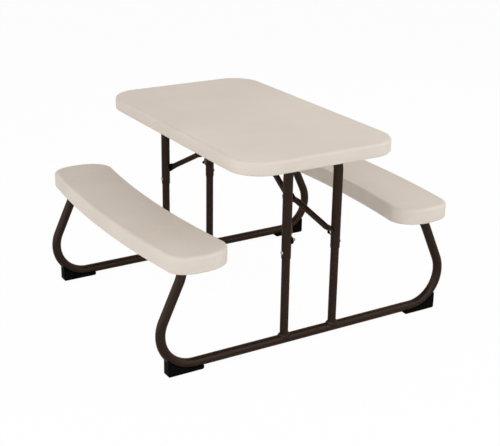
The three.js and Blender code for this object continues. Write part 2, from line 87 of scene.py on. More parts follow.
def bent_line(corners, radii, step=BEND_STEP):
    """Points and directions along straight runs that are rounded at each inner corner."""
    stations = [(corners[0], (corners[1] - corners[0]).normalized())]
    for before, corner, after, radius in zip(corners, corners[1:], corners[2:], radii):
        inward = (corner - before).normalized()
        outward = (after - corner).normalized()
        turn = inward.angle(outward)
        side = (outward - inward * inward.dot(outward)).normalized()
        start = corner - inward * radius * math.tan(turn / 2)
        steps = math.ceil(turn / step)
        for i in range(steps + 1):
            angle = turn * i / steps
            ahead = inward * radius * math.sin(angle)
            aside = side * radius * (1 - math.cos(angle))
            along = inward * math.cos(angle) + side * math.sin(angle)
            stations.append((start + ahead + aside, along))
    stations.append((corners[-1], (corners[-1] - corners[-2]).normalized()))
    return stations


def turn_angles(sides):
    """Equal steps round a full turn."""
    return [math.tau * i / sides for i in range(sides)]


def rings_along(stations, radii, sides=TUBE_SIDES):
    """A circle of points square to each station of a line, carried along it without twist."""
    across = stations[0][1].orthogonal().normalized()
    rings = []
    for (point, along), radius in zip(stations, radii):
        across = (across - along * across.dot(along)).normalized()
        other = along.cross(across)
        turns = [across * math.cos(a) + other * math.sin(a) for a in turn_angles(sides)]
        rings.append([point + radius * turn for turn in turns])
    return rings


def loft(rings, loop=False):
    """A skin of quads over a row of point rings. An open row gets flat ends."""
    count = len(rings[0])
    points = [point for ring in rings for point in ring]
    faces = []
    for i in range(len(rings) if loop else len(rings) - 1):
        first = i * count
        second = (i + 1) % len(rings) * count
        for j in range(count):
            k = (j + 1) % count
            faces.append((first + j, first + k, second + k, second + j))
    if not loop:
        faces.append(tuple(range(count))[::-1])
        faces.append(tuple(range(len(points) - count, len(points))))
    return points, faces


def tube(stations, radii):
    """A hollow tube along a line, with square open ends."""
    outside = rings_along(stations, radii)
    inside = rings_along(stations, [radius - TUBE_WALL for radius in radii])
    return loft(outside + inside[::-1], loop=True)


def mesh_of(*shells):
    """One mesh of closed shells, all with their faces outward."""
    form = bmesh.new()
    for points, faces in shells:
        corners = [form.verts.new(point) for point in points]
        for face in faces:
            form.faces.new([corners[i] for i in face])
    bmesh.ops.recalc_face_normals(form, faces=form.faces[:])
    mesh = bpy.data.meshes.new("piece")
    form.to_mesh(mesh)
    form.free()
    return mesh


class Shade:
    """A socket in a shader. Arithmetic on it adds Math nodes, and node() adds any other node."""

    MIX_FIRST, MIX_SECOND, MIX_RESULT = 6, 7, 2  # the colour sockets of a Mix node

    def __init__(self, tree, socket=None):
        self.tree = tree
        self.socket = socket

    def node(self, kind, settings=None, sockets=None, out=0):
        made = self.tree.nodes.new(kind)
        for name, value in (settings or {}).items():
            setattr(made, name, value)
        for name, value in (sockets or {}).items():
            self.feed(made.inputs[name], value)
        return Shade(self.tree, made.outputs[out])

    def feed(self, socket, value):
        if isinstance(value, Shade):
            self.tree.links.new(value.socket, socket)
        else:
            socket.default_value = value

    def math(self, operation, first, second):
        return self.node("ShaderNodeMath", {"operation": operation}, {0: first, 1: second})

    def __add__(self, other):
        return self.math("ADD", self, other)

    def __radd__(self, other):
        return self.math("ADD", other, self)

    def __sub__(self, other):
        return self.math("SUBTRACT", self, other)

    def __rsub__(self, other):
        return self.math("SUBTRACT", other, self)

    def __mul__(self, other):
        return self.math("MULTIPLY", self, other)

    def __rmul__(self, other):
        return self.math("MULTIPLY", other, self)

    def noise(self, scale, detail):
        sockets = {"Vector": self, "Scale": scale, "Detail": detail}
        return self.node("ShaderNodeTexNoise", None, sockets, "Fac")

    def between(self, low, high):
        """A smooth 0 to 1 as this value goes from low to high."""
        sockets = {"Value": self, "From Min": low, "From Max": high}
        return self.node("ShaderNodeMapRange", {"interpolation_type": "SMOOTHSTEP"}, sockets)

    def mix(self, first, second):
        """A colour that goes from the first to the second as this value goes from 0 to 1."""
        start = first if isinstance(first, Shade) else (*first, 1)
        sockets = {0: self, self.MIX_FIRST: start, self.MIX_SECOND: (*second, 1)}
        return self.node("ShaderNodeMix", {"data_type": "RGBA"}, sockets, self.MIX_RESULT)

    def bump(self, depth):
        return self.node("ShaderNodeBump", None, {"Height": self, "Distance": depth})


def surface_finish(name, constants):
    """A new material with its fixed socket values, its shader and the place on the piece."""
    material = bpy.data.materials.new(name)
    material.use_nodes = True
    shader = material.node_tree.nodes["Principled BSDF"]
    for socket, value in constants.items():
        shader.inputs[socket].default_value = value
    place = Shade(material.node_tree).node("ShaderNodeTexCoord", out="Object")
    return material, shader.inputs, place


def powder_coat():
    constants = {"Metallic": COAT_METALLIC, "IOR": COAT_IOR, "Specular IOR Level": COAT_SPECULAR,
                 "Specular Tint": COAT_TINT}
    material, shader, place = surface_finish("bronze_powder_coat", constants)
    flake = place.noise(COAT_FLAKE_SCALE, detail=0).between(*COAT_FLAKE_RANGE)
    patch = place.noise(COAT_PATCH_SCALE, detail=3)
    peel = place.noise(COAT_PEEL_SCALE, detail=1)
    place.feed(shader["Base Color"], flake.mix(COAT_BROWN, COAT_FLAKE))
    place.feed(shader["Roughness"], COAT_ROUGHNESS + COAT_ROUGHNESS_SPREAD * patch)
    place.feed(shader["Normal"], (peel + COAT_FLAKE_RISE * flake).bump(COAT_PEEL_DEPTH))
    return material


painted = (powder_coat(), "frame_paint", "painted")


def dress(node, mesh, finish):
    """Puts a finished mesh in the place of a CAD node, on the body that carries the node."""
    material, slot, word = finish
    mesh.materials.clear()
    mesh.materials.append(material)
    mesh.shade_smooth()
    mesh.set_sharp_from_angle(angle=SHARP_ANGLE)
    piece = bpy.data.objects.new(f"{node}_{word}", mesh)
    bpy.context.scene.collection.objects.link(piece)
    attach(piece, carrier[node])
    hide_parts(node)


ENDS = {"near": -1, "far": 1}
SIDES = {"left": -1, "right": 1}

tube_low, tube_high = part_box("far_floor_tube")
floor_z = tube_low.z + TUBE / 2
run_z = tube_high.z - TUBE / 2
frame_y = tube_high.y - TUBE / 2
run_end_y = tube_low.y
run_x = middle("far_right_bench_screw_1").x
corner_x = run_x + (run_z - floor_z) * math.tan(POST_SLANT)
bend_x = corner_x - FLOOR_BEND * math.tan((math.pi / 2 + POST_SLANT) / 2)


def floor_line(end):
    """The centre line of a floor tube, from under one bench to under the other."""
    half = [(corner_x, frame_y, floor_z), (run_x, frame_y, run_z), (run_x, run_end_y, run_z)]
    right = [Vector((x, end * y, z)) for x, y, z in half]
    left = [Vector((-p.x, p.y, p.z)) for p in right[::-1]]
    return bent_line(left + right, [BENCH_BEND, FLOOR_BEND, FLOOR_BEND, BENCH_BEND])


for end_name, end in ENDS.items():
    line = floor_line(end)
    dress(f"{end_name}_floor_tube", mesh_of(tube(line, [TUBE / 2] * len(line))), painted)


# Leg stubs. Four short tubes are coped to the round of the floor tube and welded on all the way
# round before coating, so the ripples of each weld show through the paint.
STUB = 0.0222
WELD_LEG = 0.0062
WELD_CROWN = 0.0012
WELD_SINK = 0.0002
WELD_ROOT = 0.0006
WELD_RIPPLES = 26
WELD_RIPPLE_STEPS = 5
WELD_RIPPLE_DEPTH = 0.16
WELD_FACE_POINTS = 7
BEZIER_PULL = 2 / 3  # draws a curve with one control point as a cubic one


def saddle_z(across):
    """Height of the floor tube's upper face at a distance across its centre line."""
    return floor_z + math.sqrt((TUBE / 2) ** 2 - across**2)


def stub_ring(x, y, radius, top=None):
    """A ring round a stub's wall, at a height or where it meets the floor tube."""
    ring = []
    for a in turn_angles(TUBE_SIDES):
        across = radius * math.sin(a)
        ring.append(Vector((x + radius * math.cos(a), y + across, top or saddle_z(across))))
    return ring


def beside_stub(x, y, a, distance, sink):
    """A point on the floor tube, at a distance from the stub's wall on the side of angle a."""
    around = math.asin(STUB / TUBE * math.sin(a)) + distance * math.sin(a) / (TUBE / 2)
    along = (STUB / 2 + distance) * math.cos(a)
    radius = TUBE / 2 - sink
    return Vector((x + along, y + radius * math.sin(around), floor_z + radius * math.cos(around)))


def weld(x, y):
    """A rippled, slightly crowned fillet in the corner between a stub and the floor tube."""
    rings = []
    for a in turn_angles(WELD_RIPPLES * WELD_RIPPLE_STEPS):
        ripple = abs(math.sin(a * WELD_RIPPLES / 2))
        leg = WELD_LEG * (1 - WELD_RIPPLE_DEPTH * (1 - ripple))
        outward = Vector((math.cos(a), math.sin(a), 0))
        corner = beside_stub(x, y, a, 0, 0)
        high = corner + Vector((0, 0, leg)) - outward * WELD_SINK
        toe = beside_stub(x, y, a, leg, WELD_SINK)
        face_middle = (high + toe) / 2
        crown = face_middle + (face_middle - corner).normalized() * 2 * WELD_CROWN
        handles = [knot.lerp(crown, BEZIER_PULL) for knot in (high, toe)]
        root = corner - (outward + Vector((0, 0, 1))) * WELD_ROOT
        rings.append([*interpolate_bezier(high, *handles, toe, WELD_FACE_POINTS), root])
    return loft(rings, loop=True)


for end_name in ENDS:
    for side_name in SIDES:
        node = f"{end_name}_{side_name}_leg_stub"
        place, top = middle(node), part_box(node)[1].z
        walls = [STUB / 2, STUB / 2 - TUBE_WALL]
        low = [stub_ring(place.x, place.y, radius) for radius in walls]
        high = [stub_ring(place.x, place.y, radius, top) for radius in walls]
        stub = loft([low[0], high[0], high[1], low[1]], loop=True)
        dress(node, mesh_of(stub, weld(place.x, place.y)), painted)


# Feet. Black plastic blocks under the four floor bends. Each is moulded with soft edges and a
# round seat, and is pushed on from below so that the tube lies in it by half.
FOOT_SEAT = 0.009
FOOT_CORNER = 0.005
FOOT_EDGE = 0.0014
FOOT_ARC_STEPS = 24
EDGE_SEGMENTS = 3
SEAT_CLEARANCE = 0.0002
FOOT_BLACK = (0.0018, 0.0013, 0.0010)
FOOT_WORN = (0.0060, 0.0051, 0.0044)
FOOT_GRAIN_SCALE = 900
FOOT_GRAIN_DEPTH = 0.0001
FOOT_SCUFF_SCALE = 60
FOOT_SCUFF_RANGE = (0.52, 0.80)
FOOT_ROUGHNESS = 0.55
FOOT_SCUFF_ROUGHNESS = 0.2
FOOT_IOR = 1.4
FOOT_SPECULAR = 0.04


def worked(mesh, edge=0.0, tool=None, operation="DIFFERENCE"):
    """The mesh with its edges eased, then cut by or joined to another mesh."""
    link = bpy.context.scene.collection.objects.link
    blank = bpy.data.objects.new("blank", mesh)
    link(blank)
    made = [blank]
    if edge:
        ease = blank.modifiers.new("ease", "BEVEL")
        ease.width = edge
        ease.segments = EDGE_SEGMENTS
        ease.angle_limit = SHARP_ANGLE
    if tool:
        cutter = bpy.data.objects.new("cutter", tool)
        link(cutter)
        made.append(cutter)
        cut = blank.modifiers.new("cut", "BOOLEAN")
        cut.operation = operation
        cut.object = cutter
    graph = bpy.context.evaluated_depsgraph_get()
    result = bpy.data.meshes.new_from_object(blank.evaluated_get(graph))
    for thing in made:
        bpy.data.objects.remove(thing)
    return result


def prism(outline, depth):
    """A flat outline of points, drawn out along a vector."""
    return loft([outline, [point + depth for point in outline]])


def arc(centre, radius, start, stop, steps):
    """(across, up) points on a round stretch, from one angle to another."""
    angles = [start + (stop - start) * i / steps for i in range(steps + 1)]
    return [(centre[0] + radius * math.cos(a), centre[1] + radius * math.sin(a)) for a in angles]


def foot_plastic():
    constants = {"IOR": FOOT_IOR, "Specular IOR Level": FOOT_SPECULAR}
    material, shader, place = surface_finish("black_foot_plastic", constants)
    grain = place.noise(FOOT_GRAIN_SCALE, detail=2)
    scuff = place.noise(FOOT_SCUFF_SCALE, detail=4).between(*FOOT_SCUFF_RANGE)
    place.feed(shader["Base Color"], scuff.mix(FOOT_BLACK, FOOT_WORN))
    place.feed(shader["Roughness"], FOOT_ROUGHNESS + FOOT_SCUFF_ROUGHNESS * scuff)
    place.feed(shader["Normal"], grain.bump(FOOT_GRAIN_DEPTH))
    return material


black = (foot_plastic(), "foot_plastic", "moulded")


def foot_outline(low, high, side):
    """A foot seen along the table: a flat sole, two round corners and the seat of the bend."""
    inner, outer = sorted((abs(low.x), abs(high.x)))
    centre = (bend_x, floor_z + FLOOR_BEND)
    radius = FLOOR_BEND + FOOT_SEAT
    outer_angle = -math.acos((outer - bend_x) / radius)
    seat = arc(centre, radius, outer_angle, -math.pi / 2, FOOT_ARC_STEPS)
    inner_top = seat[-1][1]
    corners = [(inner, inner_top), (inner, low.z), (outer, low.z), (outer, seat[0][1])]
    sole = bent_line([Vector((x, 0, z)) for x, z in corners], [FOOT_CORNER, FOOT_CORNER])
    outline = [(point.x, point.z) for point, _ in sole] + seat[1:]
    return [Vector((side * x, low.y, z)) for x, z in outline]


for end_name, end in ENDS.items():
    line = floor_line(end)
    seat = mesh_of(loft(rings_along(line, [TUBE / 2 + SEAT_CLEARANCE] * len(line))))
    for side_name, side in SIDES.items():
        node = f"{end_name}_{side_name}_foot"
        low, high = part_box(node)
        block = mesh_of(prism(foot_outline(low, high, side), Vector((0, high.y - low.y, 0))))
        dress(node, worked(block, FOOT_EDGE, seat), black)


# Benches. Each is one blow-moulded shell of almond polyethylene, bowed outward, with a rolled
# upper edge and a skirt round the recess below. Rows of kiss-offs weld its two skins together.
BENCH_WIDTH = 0.1685
BENCH_OUTSET = 0.003
BENCH_PANEL = 0.018
BENCH_ROLL = 0.009
BENCH_BOW = 2.65
BENCH_END = 0.066
OUTER_END_FULLNESS = 0.72
INNER_END_FULLNESS = 0.58
BENCH_ARC_STEPS = 28
BENCH_END_STEPS = 14
BOARD_RIM = 0.012
BOARD_LIP = 0.0045
BOARD_FILLET = 0.005
BOARD_MARGIN = 0.003
ROLL_STEPS = 10
LIP_STEPS = 5
BEAD_WIDTH = 0.012
BEAD_DROP = 0.0006
BEAD_STEPS = 6
KISS_OFF_LENGTH = 0.024
KISS_OFF_WIDTH = 0.011
KISS_OFF_DEPTH = 0.010
KISS_OFF_TAPER = 0.55
KISS_OFF_SIDES = 20
BENCH_KISS_OFF_ROW = 0.043
BENCH_KISS_OFF_PITCH = 0.042
BENCH_KISS_OFF_COUNT = 15
BLOW_HOLE = 0.008
ALMOND = (0.690, 0.616, 0.556)
ALMOND_WARM = (0.666, 0.582, 0.516)
ALMOND_SCUFF = (0.735, 0.672, 0.622)
ALMOND_CLOUD_SCALE = 5
ALMOND_CLOUD_RANGE = (0.30, 0.70)
ALMOND_SCUFF_SCALE = 26
ALMOND_SCUFF_RANGE = (0.58, 0.82)
ALMOND_SCUFF_SHARE = 0.5
ALMOND_SCUFF_ROUGHNESS = 0.08
ALMOND_GRAIN_SCALE = 620
ALMOND_GRAIN_DEPTH = 0.00022
ALMOND_GRAIN_ROUGHNESS = 0.14
ALMOND_WAVE_SCALE = 45
ALMOND_WAVE_RISE = 0.8
ALMOND_ROUGHNESS = 0.42
ALMOND_IOR = 1.45


def moulded_plastic():
    material, shader, place = surface_finish("almond_polyethylene", {"IOR": ALMOND_IOR})
    cloud = place.noise(ALMOND_CLOUD_SCALE, detail=3).between(*ALMOND_CLOUD_RANGE)
    grain = place.noise(ALMOND_GRAIN_SCALE, detail=2)
    wave = place.noise(ALMOND_WAVE_SCALE, detail=1)
    scuff = place.noise(ALMOND_SCUFF_SCALE, detail=6).between(*ALMOND_SCUFF_RANGE)
    clean = cloud.mix(ALMOND_WARM, ALMOND)
    roughness = ALMOND_ROUGHNESS + ALMOND_GRAIN_ROUGHNESS * grain + ALMOND_SCUFF_ROUGHNESS * scuff
    place.feed(shader["Base Color"], (ALMOND_SCUFF_SHARE * scuff).mix(clean, ALMOND_SCUFF))
    place.feed(shader["Roughness"], roughness)
    place.feed(shader["Normal"], (grain + ALMOND_WAVE_RISE * wave).bump(ALMOND_GRAIN_DEPTH))
    return material


almond = (moulded_plastic(), "moulded_plastic", "moulded")


def eased(value, low, high):
    """A smooth 0 to 1 as the value goes from low to high."""
    share = min(max((value - low) / (high - low), 0), 1)
    return share * share * (3 - 2 * share)


def board_profile(low_z, top_z, panel, roll):
    """(inset, height) from the recess, down its wall, round the skirt and over the rolled edge."""
    under = top_z - panel
    quarter = math.pi / 2
    fillet_centre = (BOARD_RIM + BOARD_FILLET, under - BOARD_FILLET)
    fillet = arc(fillet_centre, BOARD_FILLET, quarter, 2 * quarter, LIP_STEPS)
    inner_lip = arc((BOARD_RIM - BOARD_LIP, low_z + BOARD_LIP), BOARD_LIP, 0, -quarter, LIP_STEPS)
    outer_lip = arc((BOARD_LIP, low_z + BOARD_LIP), BOARD_LIP, -quarter, -2 * quarter, LIP_STEPS)
    rolled = arc((roll, top_z - roll), roll, 2 * quarter, quarter, ROLL_STEPS)
    shares = [i / BEAD_STEPS for i in range(1, BEAD_STEPS + 1)]
    bead = [(roll + BEAD_WIDTH * share, top_z - BEAD_DROP * eased(share, 0, 1)) for share in shares]
    first = (BOARD_RIM + BOARD_FILLET + BOARD_MARGIN, under)
    last = (roll + BEAD_WIDTH + BOARD_MARGIN, top_z - BEAD_DROP)
    return [first, *fillet, *inner_lip, *outer_lip, *rolled, *bead, last]


def bench_outline(side, half_length, inset):
    """Two arcs about one centre, closed by full round ends."""
    centre_x = run_x + BENCH_OUTSET - BENCH_BOW
    outer = BENCH_BOW + BENCH_WIDTH / 2 - inset
    inner = BENCH_BOW - BENCH_WIDTH / 2 + inset
    tip_y = half_length - inset
    shoulder_y = half_length - BENCH_END
    arc_x = {radius: centre_x + math.sqrt(radius**2 - shoulder_y**2) for radius in (outer, inner)}
    tip_x = (arc_x[outer] + arc_x[inner]) / 2

    def half_end(radius, fullness):
        """Points from the shoulder of an edge to the tip, in the end at +Y."""
        edge = arc_x[radius]
        bulge = shoulder_y + fullness * (tip_y - shoulder_y)
        crown_x = tip_x + fullness * (edge - tip_x)
        knots = [(edge, shoulder_y), (edge, bulge), (crown_x, tip_y), (tip_x, tip_y)]
        return [tuple(p) for p in interpolate_bezier(*map(Vector, knots), BENCH_END_STEPS)]

    def edge_arc(radius):
        sweep = math.asin(shoulder_y / radius)
        return arc((centre_x, 0), radius, -sweep, sweep, BENCH_ARC_STEPS)

    far_end = half_end(outer, OUTER_END_FULLNESS)[1:] + half_end(inner, INNER_END_FULLNESS)[-2::-1]
    near_end = [(x, -y) for x, y in far_end][::-1]
    loop = edge_arc(outer) + far_end + edge_arc(inner)[-2::-1] + near_end[1:-1]
    return [(side * x, y) for x, y in loop]


def kiss_off(x, y, under, tilt=0.0):
    """A tapered oval pit, pressed up into the underside."""
    rings = []
    for way in (-1, 1):
        height, size = way * KISS_OFF_DEPTH, 1 - way * KISS_OFF_TAPER
        ring = []
        for a in turn_angles(KISS_OFF_SIDES):
            across = size * KISS_OFF_WIDTH / 2 * math.cos(a)
            along = size * KISS_OFF_LENGTH / 2 * math.sin(a)
            spot = Matrix.Rotation(tilt, 2) @ Vector((across, along))
            ring.append(Vector((x + spot.x, y + spot.y, under + height)))
        rings.append(ring)
    return loft(rings)


def blow_hole(x, y, under):
    """A round pit where the air was blown in."""
    line = [(Vector((x, y, under + step)), Vector((0, 0, 1))) for step in (-BLOW_HOLE, BLOW_HOLE)]
    return loft(rings_along(line, [BLOW_HOLE / 2] * 2, KISS_OFF_SIDES))


def moulded_board(outline, profile, pits):
    """A shell that follows its outline at each step of the profile, with pits cut below."""
    rings = [[Vector((x, y, z)) for x, y in outline(inset)] for inset, z in profile]
    return worked(mesh_of(loft(rings)), tool=mesh_of(*pits))


for side_name, side in SIDES.items():
    node = f"{side_name}_bench"
    low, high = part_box(node)
    under = high.z - BENCH_PANEL
    pits = [blow_hole(side * run_x, 0, under)]
    for row in (-BENCH_KISS_OFF_ROW, BENCH_KISS_OFF_ROW):
        radius = BENCH_BOW + row
        for i in range(BENCH_KISS_OFF_COUNT):
            angle = (i - (BENCH_KISS_OFF_COUNT - 1) / 2) * BENCH_KISS_OFF_PITCH / radius
            x = run_x + BENCH_OUTSET - BENCH_BOW + radius * math.cos(angle)
            pits.append(kiss_off(side * x, radius * math.sin(angle), under, side * angle))
    profile = board_profile(low.z, high.z, BENCH_PANEL, BENCH_ROLL)
    dress(node, moulded_board(partial(bench_outline, side, high.y), profile, pits), almond)


# Bench screws. Zinc-plated pan-head screws, driven up through the tube runs into each bench.
# The same screw also holds the straps and the centre bracket under the tabletop.
SCREW = 0.005
SCREW_TIP = 0.002
SCREW_POINT = 0.0025
SCREW_HEAD = 0.010
SCREW_HEAD_HEIGHT = 0.003
SCREW_RIM = 0.001
SCREW_SIDES = 24
DRIVE_LENGTH = 0.0052
DRIVE_WIDTH = 0.0010
DRIVE_DEPTH = 0.0017
DOME_STEPS = 6
DOME_END = math.radians(78)
ZINC = (0.50, 0.51, 0.53)
ZINC_DULL = (0.33, 0.335, 0.34)
ZINC_SPANGLE_SCALE = 380
ZINC_SPANGLE_RANGE = (0.35, 0.70)
ZINC_DULL_ROUGHNESS = 0.46
ZINC_SPANGLE_POLISH = 0.16
ZINC_BRUSH_SCALE = 1500
ZINC_BRUSH_DEPTH = 0.00003


def zinc_plate():
    material, shader, place = surface_finish("zinc_plate", {"Metallic": 1.0})
    spangle = place.noise(ZINC_SPANGLE_SCALE, detail=3).between(*ZINC_SPANGLE_RANGE)
    brush = place.noise(ZINC_BRUSH_SCALE, detail=1)
    place.feed(shader["Base Color"], spangle.mix(ZINC_DULL, ZINC))
    place.feed(shader["Roughness"], ZINC_DULL_ROUGHNESS - ZINC_SPANGLE_POLISH * spangle)
    place.feed(shader["Normal"], brush.bump(ZINC_BRUSH_DEPTH))
    return material


plated = (zinc_plate(), "zinc_steel", "plated")


def turned(profile, start, axis, sides=SCREW_SIDES):
    """A round solid from (along, radius) steps on an axis."""
    stations = [(start + axis * along, axis) for along, _ in profile]
    return loft(rings_along(stations, [radius for _, radius in profile], sides))


def dome(base, height, radius):
    """(along, radius) steps of a rounded head that rises from its widest place."""
    angles = [DOME_END * i / DOME_STEPS for i in range(DOME_STEPS + 1)]
    rise = height / math.sin(DOME_END)
    return [(base + rise * math.sin(a), radius * math.cos(a)) for a in angles]


def pan_screw(low, high):
    """A screw with its head down, between the lowest and highest corner of its CAD node."""
    seat = Vector(((low.x + high.x) / 2, (low.y + high.y) / 2, low.z + SCREW_HEAD_HEIGHT))
    tip = low.z + SCREW_HEAD_HEIGHT - high.z
    radius = SCREW / 2
    shank = [(tip, SCREW_TIP / 2), (tip + SCREW_POINT, radius), (0, radius), (0, SCREW_HEAD / 2)]
    head = dome(SCREW_RIM, SCREW_HEAD_HEIGHT - SCREW_RIM, SCREW_HEAD / 2)
    slots = []
    for x, y in ((DRIVE_LENGTH / 2, DRIVE_WIDTH / 2), (DRIVE_WIDTH / 2, DRIVE_LENGTH / 2)):
        corners = [(-x, -y), (x, -y), (x, y), (-x, y)]
        outline = [Vector((seat.x + a, seat.y + b, low.z - DRIVE_DEPTH)) for a, b in corners]
        slots.append(mesh_of(prism(outline, Vector((0, 0, 2 * DRIVE_DEPTH)))))
    drive = worked(slots[0], tool=slots[1], operation="UNION")
    return worked(mesh_of(turned(shank + head, seat, Vector((0, 0, -1)))), tool=drive)


for node in frame["nodes"]:
    if "_screw" in node:
        dress(node, pan_screw(*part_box(node)), plated)


# Leg hoops. The upper legs and the crossbar between them are one bent tube, and the crossbar turns
# in the straps under the top. The open ends are swaged in a little where they stand on the stubs.
HOOP_BEND = 0.038
SWAGE_LENGTH = 0.0026
SWAGE_DROP = 0.0006
SWAGE_MOUTH = 0.0238
SWAGE_STEPS = 5


def swaged(line):
    """The line of a hoop and its radii, with both ends drawn in over their last millimetres."""
    shares = [i / SWAGE_STEPS for i in range(SWAGE_STEPS + 1)]
    lengths = [(SWAGE_LENGTH + SWAGE_DROP) * share - SWAGE_DROP for share in shares]
    radii = [(SWAGE_MOUTH + (TUBE - SWAGE_MOUTH) * eased(share, 0, 1)) / 2 for share in shares]
    (first, up), (last, down) = line[0], line[-1]
    start = [(first + up * length, up) for length in lengths]
    stop = [(last - down * length, down) for length in lengths[::-1]]
    return start + line[1:-1] + stop, radii + [TUBE / 2] * (len(line) - 2) + radii[::-1]


hoop_low, hoop_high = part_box("far_leg_hoop")
leg_x = hoop_high.x - TUBE / 2
pivot_z = hoop_high.z - TUBE / 2
hoop_corners = [(-leg_x, hoop_low.z), (-leg_x, pivot_z), (leg_x, pivot_z), (leg_x, hoop_low.z)]

for end_name, end in ENDS.items():
    corners = [Vector((x, end * frame_y, z)) for x, z in hoop_corners]
    line = bent_line(corners, [HOOP_BEND, HOOP_BEND])
    dress(f"{end_name}_leg_hoop", mesh_of(tube(*swaged(line))), painted)


# Bolts in the legs. The lower one taps into each sleeve and shows its mushroom head outside. The
# upper one carries a brace arm: a zinc hexagon nut and a black thread cap show inside the leg.
BOLT = 0.006
BOLT_HEAD = 0.0105
BOLT_HEAD_HEIGHT = 0.003
BOLT_RIM = 0.0008
BOLT_EDGE = 0.0006
BOLT_TAIL = 0.004
NUT_FLATS = 0.010
NUT_HEIGHT = 0.005
NUT_CHAMFER = 0.0009
NUT_SIDES = 36
THREAD_CAP = 0.0088
THREAD_CAP_RIM = 0.0016


def hex_radius(angle):
    """How far a hexagon's edge lies from its centre in a direction."""
    corner = math.pi / 3
    return NUT_FLATS / 2 / math.cos((angle % corner) - corner / 2)


def hex_nut(start, axis):
    """A nut whose corners are turned down to a cone at both faces."""
    across = axis.orthogonal().normalized()
    other = axis.cross(across)
    rings = []
    steps = [(0, False), (NUT_CHAMFER, True), (NUT_HEIGHT - NUT_CHAMFER, True), (NUT_HEIGHT, False)]
    for along, full in steps:
        ring = []
        for a in turn_angles(NUT_SIDES):
            radius = hex_radius(a) if full else NUT_FLATS / 2
            outward = across * math.cos(a) + other * math.sin(a)
            ring.append(start + axis * along + radius * outward)
        rings.append(ring)
    return loft(rings)


def across_leg(node):
    """A bolt's end next to the table's middle, its direction outward and its length."""
    low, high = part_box(node)
    inner, outer = sorted((low.x, high.x), key=abs)
    axis = Vector((math.copysign(1, inner), 0, 0))
    return Vector((inner, (low.y + high.y) / 2, (low.z + high.z) / 2)), axis, abs(outer - inner)


for end_name in ENDS:
    for side_name in SIDES:
        node = f"{end_name}_{side_name}_sleeve_bolt"
        start, axis, length = across_leg(node)
        seat = length - BOLT_HEAD_HEIGHT
        tip = [(0, BOLT / 2 - BOLT_EDGE), (BOLT_EDGE, BOLT / 2)]
        shank = [(seat, BOLT / 2), (seat, BOLT_HEAD / 2)]
        head = dome(seat + BOLT_RIM, BOLT_HEAD_HEIGHT - BOLT_RIM, BOLT_HEAD / 2)
        dress(node, mesh_of(turned(tip + shank + head, start, axis)), plated)

        node = f"{end_name}_{side_name}_arm_bolt"
        start, axis, length = across_leg(node)
        face = start + axis * BOLT_TAIL
        seat = length - BOLT_TAIL - BOLT_HEAD_HEIGHT
        shank = [(NUT_HEIGHT, BOLT / 2), (seat, BOLT / 2), (seat, BOLT_HEAD / 2)]
        head = [(seat + BOLT_HEAD_HEIGHT, BOLT_HEAD / 2)]
        dress(node, mesh_of(hex_nut(face, axis), turned(shank + head, face, axis)), plated)
        crown = dome(THREAD_CAP_RIM, BOLT_TAIL - THREAD_CAP_RIM, THREAD_CAP / 2)
        dress(node, mesh_of(turned([(0, THREAD_CAP / 2), *crown], face, -axis)), black)


# Brace stems. The long link of each knee brace is a thin round tube with a welded barrel at both
# ends. One barrel turns on the stem pin of the bracket, the other holds the knee pin.
BRACE = 0.016
STEM_EYE = 0.018
STEM_EYE_EDGE = 0.001
BRACE_PIN = 0.008
PIN_CLEARANCE = 0.0003
PIN_BORE = BRACE_PIN + 2 * PIN_CLEARANCE
PIN_EDGE = 0.0006


def cross_bar(low_x, high_x, place, diameter, edge):
    """A round bar along X with eased ends."""
    start = Vector((low_x, place.y, place.z))
    length = high_x - low_x
    radius = diameter / 2
    profile = [(0, radius - edge), (edge, radius), (length - edge, radius), (length, radius - edge)]
    return turned(profile, start, Vector((1, 0, 0)), TUBE_SIDES)


for end_name in ENDS:
    node = f"{end_name}_brace_stem"
    low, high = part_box(node)
    pivot = middle(f"{end_name}_stem_pin")
    knee = middle(f"{end_name}_knee_pin")
    along = (knee - pivot).normalized()
    stem = mesh_of(loft(rings_along([(pivot, along), (knee, along)], [BRACE / 2] * 2)))
    for eye in (pivot, knee):
        barrel = mesh_of(cross_bar(low.x, high.x, eye, STEM_EYE, STEM_EYE_EDGE))
        stem = worked(stem, tool=barrel, operation="UNION")
    for eye in (pivot, knee):
        bore = mesh_of(cross_bar(2 * low.x, 2 * high.x, eye, PIN_BORE, PIN_EDGE))
        stem = worked(stem, tool=bore)
    dress(node, stem, painted)
    pin = cross_bar(low.x, high.x, knee, BRACE_PIN, PIN_EDGE)
    dress(f"{end_name}_knee_pin", mesh_of(pin), plated)


# Brace arms and knee rivets. Two arms spread from the knee to the legs. Each is a round tube with
# its ends pressed flat. One turns on the arm bolt, the other has a rivet beside the stem.
TAB = 0.003
TAB_WIDTH = 0.021
TAB_FLAT = 0.010
TAB_PRESS = 0.012
TAB_SQUARENESS = 5.0
TIP_STEPS = 8
PRESS_STEPS = 12
ARM_SIDES = 32
BOLT_BORE = BOLT + 2 * PIN_CLEARANCE
PIN_HEAD = 0.013
PIN_HEAD_HEIGHT = 0.003
RIVET_RIM = 0.0006


def pressed_section(half_thick, half_wide, roundness):
    """(across, up) points that go from a flat pressed end to a full round tube."""
    power = 2 / (TAB_SQUARENESS + (2 - TAB_SQUARENESS) * roundness)
    points = []
    for a in turn_angles(ARM_SIDES):
        across, up = math.cos(a), math.sin(a)
        points.append((math.copysign(half_thick * abs(across) ** power, across),
                       math.copysign(half_wide * abs(up) ** power, up)))
    return points


